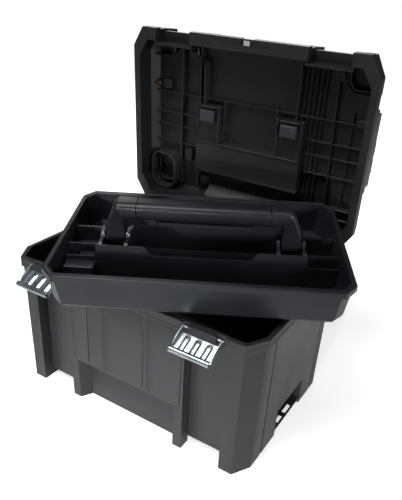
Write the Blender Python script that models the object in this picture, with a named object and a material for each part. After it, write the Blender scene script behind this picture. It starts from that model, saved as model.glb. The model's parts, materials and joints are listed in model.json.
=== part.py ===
"""Deep stackable toolbox with a lift-out tray.

The lid stands open on its stop, both steel latches hang open, and the tray lies across the rim, turned
about the vertical, with its handle up. Metres, +Z up, the front faces -Y. The origin is the centre of the
base, on the floor.

Lid pieces are modelled closed and latch pieces standing up, the positions in which they fit the box. The
empty on each hinge axis then turns them to where they rest.
"""

import math

import bmesh
import bpy
from mathutils import Matrix, Vector

NAME = "toolbox_with_tray"
GAP = 0.0003  # between pieces that touch
SHARP_ABOVE = math.radians(35)  # edges that turn by more than this stay sharp on round pieces

# Box
WIDTH, DEPTH = 0.440, 0.308  # outside the rim flange
RIM_Z = 0.234
CORNER_X, CORNER_Y = 0.019, 0.031  # the rim's corner chamfer, along X and along Y
FLANGE_H = 0.016
FLANGE_OUT = 0.0033  # how far the flange stands out from the walls
WALL = 0.0036
FOOT_H = 0.012
CHANNEL_IN, CHANNEL_OUT = 0.109, 0.176  # the two latch channels, from the centre plane
CHANNEL_DEPTH = 0.024
LABEL_HALF, LABEL_BACK_HALF, LABEL_TOP = 0.096, 0.083, 0.078  # recess low in the middle block
NOTCH_Y = (-0.040, 0.056)
NOTCH_TOP, NOTCH_DEPTH = 0.051, 0.022
SLOTS_Y = ((-0.022, -0.002), (0.006, 0.031))  # two slots in each end ledge
SLOT_X = (0.2050, 0.2115)
LEDGE_Z = (0.008, 0.011)
GROOVES_Y, GROOVE_HALF, GROOVE_DEPTH = (-0.089, 0.100), 0.0015, 0.0022  # upright grooves in each end
TRAY_LEDGE = ((0.196, -0.1, 0.170), (0.2135, 0.1, 0.1755))  # the bar inside each end that carries the tray
BASE_PAD = (0.09, 0.06)  # half sizes of the pad in the middle of the underside

# Lid, closed
LID_Z = RIM_Z + GAP
LID_FLANGE_H = 0.014
LID_DECK, LID_TOP = 0.054, 0.066  # heights above the lid's own rim
SIDE_TAPER, FRONT_TAPER = 0.013, 0.004  # how far the pads lean in at the top
LID_MIDDLE = 0.084  # half width of the set-back middle of the lid's front and back
BACK_RECESS = (0.116, 0.156)  # the set-back stretch round each hinge
HINGE_Y, HINGE_Z, HINGE_X = 0.166, 0.231, 0.135
KNUCKLE_R, HINGE_PIN_R = 0.005, 0.0015
LID_OPEN = math.radians(88)

# Latches
LATCH_X = 0.140
LATCH_PIVOT_Y, LATCH_PIVOT_Z = -0.158, 0.231
LATCH_HALF, LATCH_REACH, LATCH_STEEL = 0.0305, 0.040, 0.0015
LATCH_LIP_R = 0.004
LATCH_RIBS = 0.017  # from the middle rib to the outer ones
LATCH_OPEN = math.radians(117)
LATCH_RECESS = (0.105, 0.173)  # the recess in the lid above each latch, from the centre plane
RECESS_FLOOR = 0.131  # how far in front of the centre its floor lies
CATCH_FRONT = 0.1475  # front edge of the lid's ledges, under the latch lips
CATCH_HEIGHT = (0.024, 0.0312)  # the same ledges' lower and upper faces, above the lid's edge
SEAM = 0.001  # how far joined blocks reach into each other
NOTCH_HALF = 0.038  # half width of the rim's notch for a latch bracket
NOTCH_BACK = 0.1478  # how far in front of the centre that notch ends
BRACKET_HALF = 0.0375  # half width of a latch bracket
CREST_HALF = 0.0320  # half width of the bracket's raised crest

# Carry handle in the lid, from the lid's own rim
GRIP_PIVOT_Y, GRIP_PIVOT_H = -0.004, 0.046
EYE_HALF, EYE_FRONT = 0.007, 0.1516  # the padlock eye in the front tab

# Side clips on the lid's ends
CLIP_X, CLIP_H = 0.2162, 0.024  # the pivot
CLIP_INNER, CLIP_OUTER = 0.2142, 0.2182  # the leaf's faces
CLIP_TOP, CLIP_HOOK_TOP = 0.044, 0.050
CLIP_Y = (-0.068, 0.048)

# Tray, about its own centre with Z from its rim downwards
TRAY_L, TRAY_W, TRAY_H = 0.410, 0.275, 0.054
TRAY_AT = (0.0583, -0.0343, 0.3037)
TRAY_TURN, TRAY_PITCH, TRAY_ROLL = math.radians(28.7), math.radians(3.1), math.radians(-1.2)
DIVIDER_Y, DIVIDER_T = 0.046, 0.0025
HANDLE_PIVOT_Z = -0.004
ARM_IN, ARM_OUT = 0.113, 0.143
CHEEK_T, CHEEK_OFF = 0.005, 0.0035  # the walls beside each arm, and their middle planes from its faces


# Building blocks


def new_collection(name):
    """Adds a collection to the scene."""
    made = bpy.data.collections.new(name)
    bpy.context.scene.collection.children.link(made)
    return made


def clear_scene():
    """Removes every object of the open scene."""
    for obj in list(bpy.data.objects):
        bpy.data.objects.remove(obj, do_unlink=True)


def finish(name, colour, roughness, metallic=0.0):
    """Makes a plain Principled material."""
    material = bpy.data.materials.new(name)
    material.use_nodes = True
    shader = material.node_tree.nodes["Principled BSDF"]
    shader.inputs["Base Color"].default_value = (*colour, 1.0)
    shader.inputs["Roughness"].default_value = roughness
    shader.inputs["Metallic"].default_value = metallic
    return material


def keep(obj, name, collection):
    """Names an object and files it in one collection only."""
    obj.name = name
    obj.data.name = name
    for holder in list(obj.users_collection):
        holder.objects.unlink(obj)
    collection.objects.link(obj)
    return obj


def block(low, high):
    """A box between two corners."""
    bpy.ops.mesh.primitive_cube_add(size=1)
    obj = bpy.context.object
    low, high = Vector(low), Vector(high)
    size = high - low
    obj.data.transform(Matrix.Translation((low + high) / 2) @ Matrix.Diagonal((*size, 1.0)))
    return obj


def rod(axis, centre, length, radius, sides=16):
    """A cylinder along X, Y or Z, with its side shaded smooth."""
    bpy.ops.mesh.primitive_cylinder_add(radius=radius, depth=length, vertices=sides)
    obj = bpy.context.object
    turns = {"X": Matrix.Rotation(math.pi / 2, 4, "Y"), "Y": Matrix.Rotation(math.pi / 2, 4, "X")}
    obj.data.transform(Matrix.Translation(centre) @ turns.get(axis, Matrix.Identity(4)))
    obj.data.shade_smooth()
    obj.data.set_sharp_from_angle(angle=SHARP_ABOVE)
    return obj


def octagon(half_x, half_y, cut_x, cut_y, z):
    """The corners of a rectangle with cut corners, anticlockwise from above."""
    right = [(half_x, cut_y - half_y), (half_x, half_y - cut_y)]
    back = [(half_x - cut_x, half_y), (cut_x - half_x, half_y)]
    left = [(-half_x, half_y - cut_y), (-half_x, cut_y - half_y)]
    front = [(cut_x - half_x, -half_y), (half_x - cut_x, -half_y)]
    return [(x, y, z) for x, y in right + back + left + front]


def stack(*sections):
    """A solid lofted through octagon sections, from the lowest up."""
    rings = [octagon(*section) for section in sections]
    points = [point for ring in rings for point in ring]
    count = len(rings[0])
    faces = [tuple(reversed(range(count))), tuple(range(len(points) - count, len(points)))]
    for level in range(len(rings) - 1):
        base = level * count
        for i in range(count):
            j = (i + 1) % count
            faces.append((base + i, base + j, base + count + j, base + count + i))
    mesh = bpy.data.meshes.new("stack")
    mesh.from_pydata(points, [], faces)
    obj = bpy.data.objects.new("stack", mesh)
    bpy.context.scene.collection.objects.link(obj)
    return obj


def plate(points, thickness, place):
    """A flat outline given its thickness and moved by the matrix place, as one welded mesh."""
    curve = bpy.data.curves.new("outline", "CURVE")
    curve.dimensions = "2D"
    curve.fill_mode = "BOTH"
    curve.extrude = thickness / 2
    spline = curve.splines.new("POLY")
    spline.points.add(len(points) - 1)
    for point, (x, y) in zip(spline.points, points):
        point.co = (x, y, 0.0, 1.0)
    spline.use_cyclic_u = True
    drawn = bpy.data.objects.new("outline", curve)
    bpy.context.scene.collection.objects.link(drawn)
    graph = bpy.context.evaluated_depsgraph_get()
    mesh = bpy.data.meshes.new_from_object(drawn.evaluated_get(graph))
    bpy.data.objects.remove(drawn, do_unlink=True)
    solid = bpy.data.objects.new("plate", mesh)
    bpy.context.scene.collection.objects.link(solid)
    weld = bmesh_of(mesh)
    bmesh.ops.remove_doubles(weld, verts=weld.verts, dist=1e-6)
    bmesh.ops.transform(weld, matrix=place, verts=weld.verts)
    bmesh.ops.recalc_face_normals(weld, faces=weld.faces)
    weld.to_mesh(mesh)
    weld.free()
    return solid


def bmesh_of(mesh):
    """An editable copy of a mesh."""
    editable = bmesh.new()
    editable.from_mesh(mesh)
    return editable


def mirrored(obj):
    """A copy on the other side of the centre plane, right side out."""
    twin = obj.copy()
    twin.data = obj.data.copy()
    bpy.context.scene.collection.objects.link(twin)
    flipped = bmesh_of(twin.data)
    bmesh.ops.scale(flipped, vec=(-1.0, 1.0, 1.0), verts=flipped.verts)
    bmesh.ops.reverse_faces(flipped, faces=flipped.faces)
    flipped.to_mesh(twin.data)
    flipped.free()
    return twin


def both(obj):
    """An object and its mirror image."""
    return [obj, mirrored(obj)]


class Piece:
    """A named solid, with the joins and cuts that shape it."""

    made = {}

    def __init__(self, name, base, material):
        self.obj = keep(base, name, PARTS)
        self.obj.data.materials.clear()
        self.obj.data.materials.append(material)
        self.helpers = []
        Piece.made[name] = self

    def change(self, operation, tools):
        """Adds one exact Boolean for each tool."""
        for tool in tools:
            label = f"{self.obj.name}_{operation.lower()}_{len(self.helpers)}"
            keep(tool, label, CUTTERS)
            tool.hide_render = True
            tool.display_type = "WIRE"
            step = self.obj.modifiers.new(label, "BOOLEAN")
            step.operation = operation
            step.solver = "EXACT"
            step.object = tool
            self.helpers.append(tool)
        return self

    def join(self, *tools):
        """Unites the piece with solids."""
        return self.change("UNION", tools)

    def cut(self, *tools):
        """Takes solids away from the piece."""
        return self.change("DIFFERENCE", tools)


def axis_empty(name, place, parent=None):
    """An empty on a joint's axis."""
    empty = bpy.data.objects.new(name, None)
    empty.empty_display_size = 0.02
    PARTS.objects.link(empty)
    empty.location = place
    if parent:
        hang(parent, [empty])
    return empty


def hang(empty, objects):
    """Parents objects to an empty and leaves them where they are."""
    bpy.context.view_layer.update()
    for obj in objects:
        obj.parent = empty
        obj.matrix_parent_inverse = empty.matrix_world.inverted()


def hang_pieces(empty, *names):
    """Parents pieces and the solids that shape them to an empty."""
    for name in names:
        piece = Piece.made[name]
        hang(empty, [piece.obj, *piece.helpers])


# Box


def box_shell(plastic):
    """The moulded body: feet, latch channels, label recess, end notches, rim flange and hinge knuckles."""
    flange_z = RIM_Z - FLANGE_H
    half_x, half_y = WIDTH / 2, DEPTH / 2
    wall_x, wall_y = half_x - FLANGE_OUT, half_y - FLANGE_OUT
    cut_x, cut_y = CORNER_X - 0.002, CORNER_Y - 0.002
    draft = 0.0012
    base = stack(
        (wall_x - draft, wall_y - draft, cut_x, cut_y, 0.0),
        (wall_x, wall_y, cut_x, cut_y, flange_z),
        (half_x, half_y, CORNER_X, CORNER_Y, flange_z),
        (half_x, half_y, CORNER_X, CORNER_Y, RIM_Z),
    )
    in_x, in_y = wall_x - WALL, wall_y - WALL
    inside = stack(
        (in_x - draft, in_y - draft, cut_x - 0.002, cut_y - 0.002, FOOT_H + WALL),
        (in_x, in_y, cut_x - 0.002, cut_y - 0.002, RIM_Z + 0.01),
    )
    shell = Piece("box_shell", base, plastic).cut(inside)
    skin = half_y - FLANGE_OUT - 0.0025  # just inside the outer face
    channel_y = -half_y + CHANNEL_DEPTH
    label_y = channel_y - 0.001
    low = FOOT_H + 0.001
    backing_top = (CHANNEL_OUT + WALL, channel_y + WALL, flange_z - 0.0005)
    shell.join(*both(block((CHANNEL_IN - WALL, -skin, low), backing_top)))
    shell.join(block((-CHANNEL_IN, -skin, low), (CHANNEL_IN, label_y + WALL, LABEL_TOP + WALL)))
    end_in = wall_x - NOTCH_DEPTH
    end_low = (end_in - WALL, NOTCH_Y[0] - WALL, low)
    end_high = (wall_x - 0.0025, NOTCH_Y[1] + WALL, NOTCH_TOP + WALL)
    shell.join(*both(block(end_low, end_high)))
    under = DEPTH / 2 - CHANNEL_DEPTH + 0.0001
    shell.cut(block((-CHANNEL_OUT, -under, -0.01), (CHANNEL_OUT, under, FOOT_H)))
    channel = block((CHANNEL_IN, -0.2, -0.01), (CHANNEL_OUT, channel_y, flange_z - 0.004))
    shell.cut(*both(channel))
    outline = [
        (-LABEL_HALF - 0.006, -half_y - 0.01),
        (LABEL_HALF + 0.006, -half_y - 0.01),
        (LABEL_BACK_HALF, label_y),
        (-LABEL_BACK_HALF, label_y),
    ]
    shell.cut(plate(outline, 0.1, Matrix.Translation((0, 0, LABEL_TOP - 0.05))))
    shell.cut(*both(block((end_in, NOTCH_Y[0], -0.01), (0.23, NOTCH_Y[1], NOTCH_TOP))))
    pad_x, pad_y = BASE_PAD
    shell.join(block((-pad_x, -pad_y, 0.0), (pad_x, pad_y, FOOT_H + 0.001)))
    ledge_low = (end_in - 0.001, NOTCH_Y[0] - 0.001, LEDGE_Z[0])
    shell.join(*both(block(ledge_low, (wall_x - 0.002, NOTCH_Y[1] + 0.001, LEDGE_Z[1]))))
    for low_y, high_y in SLOTS_Y:
        shell.cut(*both(block((SLOT_X[0], low_y, 0.0), (SLOT_X[1], high_y, 0.02))))
    for groove_y in GROOVES_Y:
        groove_low = (wall_x - GROOVE_DEPTH, groove_y - GROOVE_HALF, -0.01)
        shell.cut(*both(block(groove_low, (0.23, groove_y + GROOVE_HALF, flange_z - 0.004))))
    notch = block((LATCH_X - NOTCH_HALF, -0.2, flange_z - 0.0002), (LATCH_X + NOTCH_HALF, -NOTCH_BACK, 0.3))
    shell.cut(*both(notch))
    shell.join(*both(block(*TRAY_LEDGE)))
    for offset in (-0.024, 0.024):
        shell.join(*knuckle(offset, 0.006, (0.1535, 0.2225), (HINGE_Y, 0.2335)))
    for hole in both(rod("X", (HINGE_X, HINGE_Y, HINGE_Z), 0.07, HINGE_PIN_R + GAP)):
        shell.cut(hole)


def knuckle(offset, half, low, high):
    """A barrel on the hinge axis and the arm that carries it, on both hinges. low and high are (y, z)."""
    tools = []
    for side in (-1, 1):
        x = side * HINGE_X + offset
        tools.append(rod("X", (x, HINGE_Y, HINGE_Z), 2 * half, KNUCKLE_R))
        tools.append(block((x - half + 0.0001, *low), (x + half - 0.0001, *high)))
    return tools


def hinge_pins(steel):
    """The two hinge pins."""
    for side, label in ((-1, "left"), (1, "right")):
        pin = rod("X", (side * HINGE_X, HINGE_Y, HINGE_Z), 0.060, HINGE_PIN_R)
        Piece(f"hinge_pin_{label}", pin, steel)


# Latches


def latch_set(side, label, plastic, steel):
    """A bracket clipped over the rim, its pin and the steel latch that turns on it."""
    x = side * LATCH_X
    front = -DEPTH / 2
    back = -NOTCH_BACK - GAP
    flange_z = RIM_Z - FLANGE_H
    top = RIM_Z + 0.002
    bracket = block((x - BRACKET_HALF, front, flange_z + GAP), (x + BRACKET_HALF, back, RIM_Z - GAP))
    crest = block((x - CREST_HALF, front, RIM_Z - 0.002), (x + CREST_HALF, back, top))
    boss = block((x - 0.022, LATCH_PIVOT_Y - 0.0045, 0.2262), (x + 0.022, front + 0.001, top))
    hole = rod("X", (x, LATCH_PIVOT_Y, LATCH_PIVOT_Z), 0.08, 0.0015 + GAP)
    Piece(f"latch_bracket_{label}", bracket, plastic).join(crest, boss).cut(hole)
    Piece(f"latch_pin_{label}", rod("X", (x, LATCH_PIVOT_Y, LATCH_PIVOT_Z), 0.064, 0.0015), steel)
    face_y = LATCH_PIVOT_Y - 0.0065
    half, reach = LATCH_HALF, LATCH_REACH
    at = LATCH_PIVOT_Z
    face = block((x - half, face_y, at + 0.0068), (x + half, face_y + LATCH_STEEL, at + reach))
    latch = Piece(f"latch_{label}", face, steel)
    heel = [(-0.0065, 0.0068), (-0.003, -0.002), (0.0, -0.003), (0.003, -0.002)]
    wing_outline = heel + [(0.003, 0.024), (-0.0065, 0.036)]
    for edge in (-1, 1):
        wing_x = x + edge * (half - LATCH_STEEL / 2)
        place = Matrix.Translation((wing_x, LATCH_PIVOT_Y, at)) @ YZ_PLANE
        latch.join(plate(wing_outline, LATCH_STEEL, place))
    lip_y = face_y + LATCH_LIP_R + 0.0005
    latch.join(rod("X", (x, lip_y, at + reach), 2 * half + 0.001, LATCH_LIP_R, 20))
    for rib in (x - LATCH_RIBS, x, x + LATCH_RIBS):
        low, high = (rib - 0.003, face_y + 0.001, at + 0.010), (rib + 0.003, face_y + 0.0027, at + 0.033)
        latch.join(block(low, high))
    latch.cut(rod("X", (x, LATCH_PIVOT_Y, at), 0.08, 0.0015 + GAP))
    empty = axis_empty(f"latch_{label}_axis", (x, LATCH_PIVOT_Y, LATCH_PIVOT_Z))
    hang_pieces(empty, f"latch_{label}")
    empty.rotation_euler.x = LATCH_OPEN


# Maps an outline's own X and Y to the world's Y and Z.
YZ_PLANE = Matrix(((0, 0, 1, 0), (1, 0, 0, 0), (0, 1, 0, 0), (0, 0, 0, 1)))
# Maps an outline's own X and Y to the world's X and Z.
XZ_PLANE = Matrix(((1, 0, 0, 0), (0, 0, -1, 0), (0, 1, 0, 0), (0, 0, 0, 1)))


# Lid, modelled closed


def lid_block(low, high):
    """A box whose heights are measured from the lid's own rim."""
    return block((low[0], low[1], LID_Z + low[2]), (high[0], high[1], LID_Z + high[2]))


def lid_shell(plastic):
    """The lid: flange, walls set back from it, four corner pads, four middle pads and the handle recess."""
    half_x, half_y = WIDTH / 2, DEPTH / 2
    pad_x, pad_y = half_x - FLANGE_OUT, half_y - FLANGE_OUT
    cut_x, cut_y = CORNER_X - 0.002, CORNER_Y - 0.002
    base = stack(
        (half_x, half_y, CORNER_X, CORNER_Y, LID_Z),
        (half_x, half_y, CORNER_X, CORNER_Y, LID_Z + LID_FLANGE_H),
        (pad_x, pad_y, cut_x, cut_y, LID_Z + LID_FLANGE_H),
        (pad_x, pad_y, cut_x, cut_y, LID_Z + 0.030),
        (pad_x - SIDE_TAPER, pad_y - FRONT_TAPER, cut_x - 0.004, cut_y - 0.004, LID_Z + LID_TOP),
    )
    lid = Piece("lid_shell", base, plastic)
    back = 0.010  # how far the walls between pads lie behind them
    wall_x, wall_y = pad_x - 0.0042, half_y - back
    far = 0.3
    above = LID_FLANGE_H
    for low_y, high_y in ((-far, -wall_y), (wall_y, far)):
        lid.cut(lid_block((-LID_MIDDLE, low_y, above), (LID_MIDDLE, high_y, far)))
    lid.cut(*both(lid_block((BACK_RECESS[0], wall_y, above), (BACK_RECESS[1], far, far))))
    lid.cut(*both(lid_block((wall_x, -0.097, above), (far, 0.060, far))))
    deck = LID_DECK
    lid.cut(lid_block((-far, -0.095, deck), (far, 0.095, far)))
    for low_y, high_y in ((-far, -0.094), (0.094, far)):
        lid.cut(lid_block((-LID_MIDDLE, low_y, deck), (LID_MIDDLE, high_y, far)))
    inner = deck - 0.0035
    in_x, in_y = wall_x - WALL, wall_y - 0.0045
    lid.cut(stack(
        (half_x - 0.012, half_y - 0.020, 0.017, 0.026, LID_Z - 0.01),
        (half_x - 0.012, half_y - 0.020, 0.017, 0.026, LID_Z + 0.0035),
        (in_x, in_y, 0.016, 0.028, LID_Z + 0.0035),
        (in_x, in_y, 0.016, 0.028, LID_Z + 0.034),
        (in_x - 0.010, in_y - 0.006, 0.014, 0.026, LID_Z + inner),
    ))
    lid.cut(lid_block((-0.190, 0.0, -0.01), (0.190, half_y - 0.0130, 0.0045)))
    backing_low = (LATCH_RECESS[0] - WALL, -in_y - 0.001, 0.001)
    backing_high = (LATCH_RECESS[1] + WALL, WALL - RECESS_FLOOR, inner + 0.001)
    lid.join(*both(lid_block(backing_low, backing_high)))
    lid.cut(*both(lid_block((LATCH_RECESS[0], -far, -0.01), (LATCH_RECESS[1], -RECESS_FLOOR, far))))
    wall = WALL
    lid.join(lid_block((-0.098 - wall, 0.034 - wall, 0.0265), (0.098 + wall, 0.082 + wall, inner + 0.001)))
    lid.join(*both(lid_block((0.0565, -0.030, 0.0305), (0.0995, 0.032, inner + 0.001))))
    lid.cut(lid_block((-0.098, 0.034, 0.030), (0.098, 0.082, 0.1)))
    lid.cut(*both(lid_block((0.060, -0.020, 0.034), (0.096, 0.036, 0.1))))
    grip_pin = rod("X", (0, GRIP_PIVOT_Y, LID_Z + GRIP_PIVOT_H), 0.206, 0.0015 + GAP)
    lid.cut(grip_pin)
    ledge_low = (LATCH_RECESS[0] - SEAM, -CATCH_FRONT, CATCH_HEIGHT[0])
    ledge_high = (LATCH_RECESS[1] + SEAM, SEAM - RECESS_FLOOR, CATCH_HEIGHT[1])
    lid.join(*both(lid_block(ledge_low, ledge_high)))
    lid.cut(lid_block((-EYE_HALF, -EYE_FRONT, -0.01), (EYE_HALF, -wall_y - 0.0003, above + 0.01)))
    lid.cut(lid_block((-EYE_HALF - 0.004, -far, 0.004), (EYE_HALF + 0.004, -wall_y - 0.0003, far)))
    for low_y, high_y in ((CLIP_Y[0] - 0.008, CLIP_Y[0] - GAP), (CLIP_Y[1] + GAP, CLIP_Y[1] + 0.008)):
        lid.join(*both(lid_block((wall_x - 0.001, low_y, 0.013), (CLIP_OUTER + 0.0004, high_y, 0.029))))
    clip_pins = rod("Y", (CLIP_X, sum(CLIP_Y) / 2, LID_Z + CLIP_H), 0.127, 0.0012 + GAP)
    lid.cut(*both(clip_pins))
    lid.join(*knuckle(0.0, 0.0175, (0.1535, LID_Z + 0.0005), (HINGE_Y, LID_Z + 0.0068)))
    for hole in both(rod("X", (HINGE_X, HINGE_Y, HINGE_Z), 0.07, HINGE_PIN_R + GAP)):
        lid.cut(hole)


def lid_handle(plastic, steel, pale):
    """The folding carry handle, its two pins and the retainers that hold the pins from inside."""
    y, z = GRIP_PIVOT_Y, LID_Z + GRIP_PIVOT_H
    bar = lid_block((-0.088, 0.054, 0.037), (0.088, 0.076, 0.0535))
    handle = Piece("lid_handle", bar, plastic)
    handle.join(*both(lid_block((0.068, -0.009, 0.0405), (0.088, 0.056, 0.0515))))
    handle.cut(rod("X", (0, y, z), 0.2, 0.0015 + GAP))
    for side, label in ((-1, "left"), (1, "right")):
        Piece(f"lid_handle_pin_{label}", rod("X", (side * 0.0782, y, z), 0.0405, 0.0015), steel)
        low, high = sorted((side * 0.064, side * 0.092))
        clip = lid_block((low, -0.028, 0.019), (high, -0.008, 0.0305 - GAP))
        Piece(f"lid_handle_retainer_{label}", clip, pale)


def side_clips(plastic, steel):
    """The clip on each end of the lid that holds a box stacked on top, and its pin."""
    for side, label in ((-1, "left"), (1, "right")):
        low, high = sorted((side * CLIP_INNER, side * CLIP_OUTER))
        leaf = lid_block((low, CLIP_Y[0], 0.0215), (high, CLIP_Y[1], CLIP_TOP))
        clip = Piece(f"side_clip_{label}", leaf, plastic)
        hook_low, hook_high = sorted((side * CLIP_INNER, side * (CLIP_OUTER - 0.001)))
        for low_y, high_y in SLOTS_Y:
            hook_base = (hook_low, low_y + 0.001, CLIP_TOP - 0.001)
            clip.join(lid_block(hook_base, (hook_high, high_y - 0.001, CLIP_HOOK_TOP)))
        centre = (side * CLIP_X, sum(CLIP_Y) / 2, LID_Z + CLIP_H)
        clip.cut(rod("Y", centre, 0.14, 0.0012 + GAP))
        Piece(f"side_clip_pin_{label}", rod("Y", centre, 0.125, 0.0012), steel)


def brass_rivet(brass):
    """A small rivet in the lid's ceiling."""
    Piece("brass_rivet", rod("Z", (-0.192, -0.056, LID_Z + 0.0388), 0.003, 0.003, 12), brass)


def open_lid():
    """Hangs every lid piece on the hinge axis and opens it, with the folding pieces on their own axes."""
    lid_axis = axis_empty("lid_hinge_axis", (0, HINGE_Y, HINGE_Z))
    handle_axis = axis_empty("lid_handle_axis", (0, GRIP_PIVOT_Y, LID_Z + GRIP_PIVOT_H), lid_axis)
    hang_pieces(handle_axis, "lid_handle")
    for side, label in ((-1, "left"), (1, "right")):
        place = (side * CLIP_X, sum(CLIP_Y) / 2, LID_Z + CLIP_H)
        clip_axis = axis_empty(f"side_clip_{label}_axis", place, lid_axis)
        hang_pieces(clip_axis, f"side_clip_{label}")
        hang_pieces(lid_axis, f"side_clip_pin_{label}", f"lid_handle_pin_{label}")
        hang_pieces(lid_axis, f"lid_handle_retainer_{label}")
    hang_pieces(lid_axis, "lid_shell", "brass_rivet")
    lid_axis.rotation_euler.x = -LID_OPEN


# Tray, modelled about its own centre


def tray_shell(plastic):
    """The tray: rim, tapered walls, two long dividers and the cross walls that hold the handle."""
    half_x, half_y = TRAY_L / 2, TRAY_W / 2
    base = stack(
        (half_x - 0.014, half_y - 0.0140, 0.012, 0.012, -TRAY_H),
        (half_x - 0.010, half_y - 0.0105, 0.014, 0.016, -TRAY_H + 0.005),
        (half_x - 0.005, half_y - 0.0045, 0.015, 0.018, -0.008),
        (half_x, half_y, 0.016, 0.021, -0.008),
        (half_x, half_y, 0.016, 0.021, 0.0),
    )
    tray = Piece("tray_shell", base, plastic)
    wall = 0.0025
    tray.cut(stack(
        (half_x - 0.0165, half_y - 0.0165, 0.011, 0.011, -TRAY_H + wall),
        (half_x - 0.0125, half_y - 0.0130, 0.013, 0.015, -TRAY_H + wall + 0.005),
        (half_x - 0.0075, half_y - 0.0105, 0.013, 0.017, -0.006),
        (half_x - 0.0050, half_y - 0.0100, 0.013, 0.017, 0.01),
    ))
    floor = -TRAY_H + wall - 0.001
    reach = half_x - 0.0115
    saddle = [(0.152, -0.019), (0.148, -0.0005), (0.080, -0.0005), (0.070, -0.0135)]
    profile = [(-reach, floor), (reach, floor), (reach, -0.019)] + saddle
    profile += [(-x, z) for x, z in reversed(saddle)] + [(-reach, -0.019)]
    for y in (-DIVIDER_Y, DIVIDER_Y):
        tray.join(plate(profile, DIVIDER_T, Matrix.Translation((0, y, 0)) @ XZ_PLANE))
    cheek = [(-0.0465, floor), (0.0465, floor), (0.0465, -0.022)]
    cheek += [(0.030, -0.006), (-0.028, -0.006), (-0.0465, -0.022)]
    shoulder = [(-0.0125, -0.010), (0.0125, -0.010), (0.009, 0.002), (-0.009, 0.002)]
    for x in (ARM_IN - CHEEK_OFF, ARM_OUT + CHEEK_OFF):
        for outline in (cheek, shoulder):
            for side in (-1, 1):
                place = Matrix.Translation((side * x, 0, 0)) @ YZ_PLANE
                tray.join(plate(outline, CHEEK_T, place))
    for side in (-1, 1):
        low, high = sorted((side * 0.146, side * reach))
        for y in (-0.026, 0.027):
            tray.join(block((low, y - 0.0012, floor), (high, y + 0.0012, -0.010)))
    step_low = (-reach - 0.001, -0.0255, floor)
    tray.join(block(step_low, (-0.149, 0.0262, -0.034)))
    tray.cut(rod("X", (0, 0, HANDLE_PIVOT_Z), 0.2965, 0.002 + GAP))


def tray_handle(plastic, steel):
    """The tray's folding handle: a U-shaped frame, the sleeve on its bar and the two pivot pins."""
    under = [(ARM_IN, -0.010), (ARM_IN, 0.024), (0.0960, 0.024), (0.0960, 0.029)]
    over = [(0.0960, 0.045), (0.0960, 0.050), (0.126, 0.050), (ARM_OUT, 0.012), (ARM_OUT, -0.010)]
    frame = Piece("tray_handle", plate(order_loop(under, over), 0.028, XZ_PLANE), plastic)
    frame.cut(rod("X", (0, 0, HANDLE_PIVOT_Z), 0.3, 0.002 + GAP))
    sleeve = block((-0.0957, -0.018, 0.024), (0.0957, 0.018, 0.050))
    hollow = block((-0.1, -0.0143, 0.0287), (0.1, 0.0143, 0.0453))
    Piece("tray_handle_grip", sleeve, plastic).cut(hollow)
    for side, label in ((-1, "left"), (1, "right")):
        pin = rod("X", (side * 0.1281, 0, HANDLE_PIVOT_Z), 0.0395, 0.002)
        Piece(f"tray_handle_pin_{label}", pin, steel)


def order_loop(under, over):
    """The closed outline of a U that stands on its two arms, from half of its lower and its upper edge."""
    lower = [(-x, z) for x, z in under] + [(x, z) for x, z in reversed(under)]
    upper = [(x, z) for x, z in reversed(over)] + [(-x, z) for x, z in over]
    return lower + upper


def place_tray():
    """Lays the tray across the rim, with one rear corner up on the lid's rear wall."""
    tray_axis = axis_empty("tray_axis", (0, 0, 0))
    handle_axis = axis_empty("tray_handle_axis", (0, 0, HANDLE_PIVOT_Z), tray_axis)
    hang_pieces(handle_axis, "tray_handle", "tray_handle_grip")
    hang_pieces(tray_axis, "tray_shell", "tray_handle_pin_left", "tray_handle_pin_right")
    tray_axis.location = TRAY_AT
    tray_axis.rotation_mode = "YXZ"
    tray_axis.rotation_euler = (TRAY_PITCH, TRAY_ROLL, TRAY_TURN)


def main():
    """Builds the toolbox."""
    plastic = finish("black_plastic", (0.018, 0.018, 0.020), 0.55)
    satin = finish("satin_plastic", (0.026, 0.026, 0.029), 0.45)
    pale = finish("grey_plastic", (0.060, 0.060, 0.065), 0.50)
    steel = finish("zinc_steel", (0.62, 0.66, 0.70), 0.28, 1.0)
    brass = finish("brass", (0.60, 0.32, 0.10), 0.30, 1.0)
    box_shell(plastic)
    hinge_pins(steel)
    for side, label in ((-1, "left"), (1, "right")):
        latch_set(side, label, plastic, steel)
    lid_shell(plastic)
    lid_handle(satin, steel, pale)
    side_clips(satin, steel)
    brass_rivet(brass)
    open_lid()
    tray_shell(satin)
    tray_handle(satin, steel)
    place_tray()


clear_scene()
PARTS = new_collection(NAME)
CUTTERS = new_collection(NAME + "_cutters")
main()
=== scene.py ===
"""Deep black toolbox with its lid open, both steel latches down and the tray lying across the rim.

Most CAD parts are shown by a skin of the same shape with rounded edges. The latches and the tray handle
are new surfaces in their place, and ribs, walls, beads and panels are added, all worked out with numpy.
"""

import json
import logging
import math
from dataclasses import dataclass
from enum import Enum

import bmesh
import bpy
import numpy as np
from mathutils import Matrix, Vector


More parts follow.
